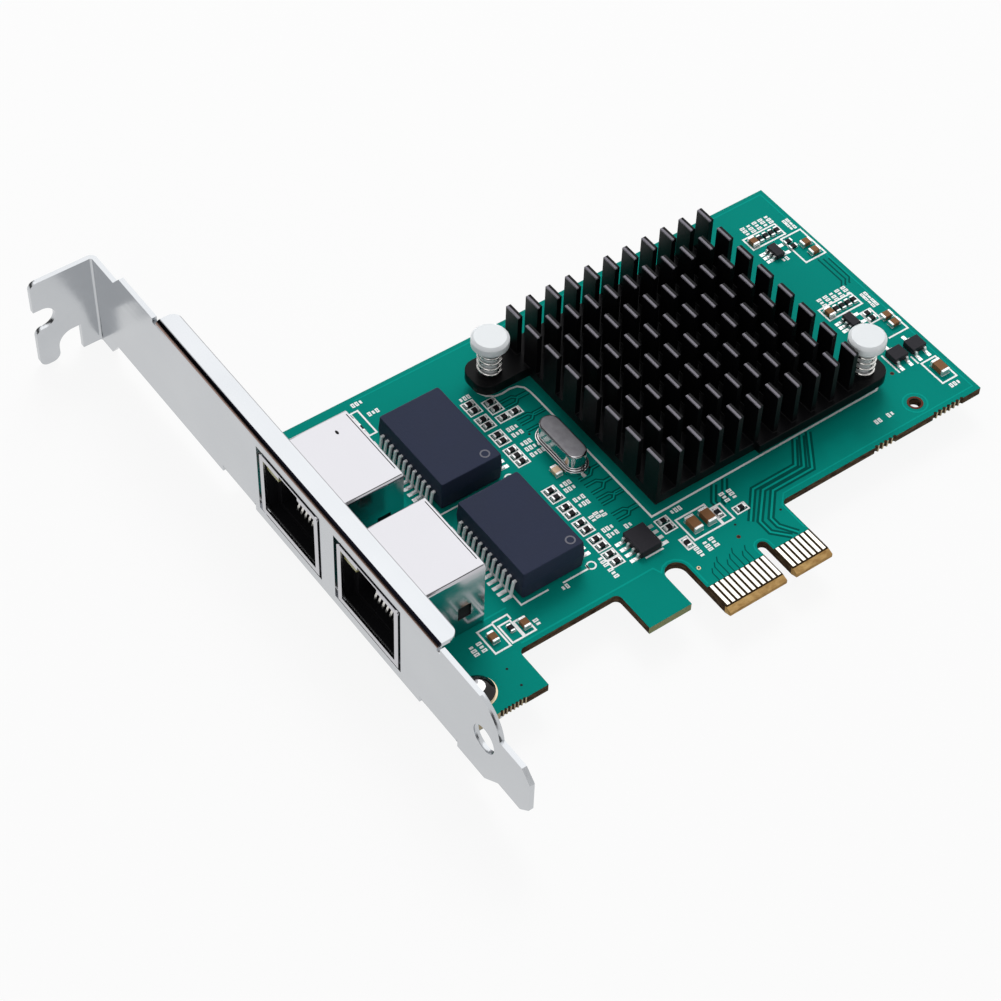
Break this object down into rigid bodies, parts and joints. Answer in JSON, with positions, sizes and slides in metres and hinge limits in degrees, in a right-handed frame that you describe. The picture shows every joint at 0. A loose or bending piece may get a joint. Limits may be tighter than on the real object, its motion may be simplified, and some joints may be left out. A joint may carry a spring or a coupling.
{
  "type": "network interface card",
  "caption": "Plug-in network card: keyed edge connector, finned heat sink on push pins, socket jacks behind a full-height slotted bracket.",
  "frame": {"origin": "on the outer face of the bracket, level with the tips of the edge contacts and the upper side of the board", "axes": "+X from the bracket into the case, +Y along the bracket to its screw tab, +Z off the fitted side of the board"},
  "size_m": [0.1212, 0.1209, 0.0215],
  "materials": {
    "plated_steel": "bright nickel plate",
    "screw_steel": "bright",
    "board_green": "solder mask over laminate, semi-gloss",
    "contact_gold": "gold plate",
    "tinned_copper": "tinned",
    "shield_metal": "nickel plate, satin",
    "housing_black": "moulded",
    "lamp_clear": "clear moulded",
    "module_navy": "moulded, fine grain",
    "lead_tin": "tin plate",
    "black_aluminium": "black anodised",
    "pad_grey": "soft pad",
    "chip_black": "moulded",
    "pin_white": "milky moulded",
    "spring_steel": "bright wire",
    "can_metal": "bright",
    "capacitor_tan": "fired",
    "resistor_dark": "fired"
  },
  "bodies": {
    "root": {"bracket": "plated_steel", "bracket_screws": "screw_steel", "circuit_board": "board_green", "edge_contacts": "contact_gold", "plated_rings": "tinned_copper", "solder_joints": "tinned_copper", "jack_shield_1": "shield_metal", "jack_shield_2": "shield_metal", "jack_housing_1": "housing_black", "jack_housing_2": "housing_black", "jack_contacts_1": "contact_gold", "jack_contacts_2": "contact_gold", "jack_lamps_1": "lamp_clear", "jack_lamps_2": "lamp_clear", "magnetics_body_1": "module_navy", "magnetics_body_2": "module_navy", "magnetics_leads_1": "lead_tin", "magnetics_leads_2": "lead_tin", "heat_sink": "black_aluminium", "thermal_pad": "pad_grey", "controller_chip": "chip_black", "push_pin_left": "pin_white", "push_pin_right": "pin_white", "push_pin_spring_left": "spring_steel", "push_pin_spring_right": "spring_steel", "crystal_can": "can_metal", "crystal_base": "can_metal", "crystal_feet": "lead_tin", "flash_chip": "chip_black", "flash_leads": "lead_tin", "driver_chips": "chip_black", "driver_leads": "lead_tin", "regulators": "chip_black", "regulator_leads": "lead_tin", "chip_capacitors": "capacitor_tan", "capacitor_ends": "lead_tin", "chip_resistors": "resistor_dark", "resistor_ends": "lead_tin"}
  },
  "joints": []
}
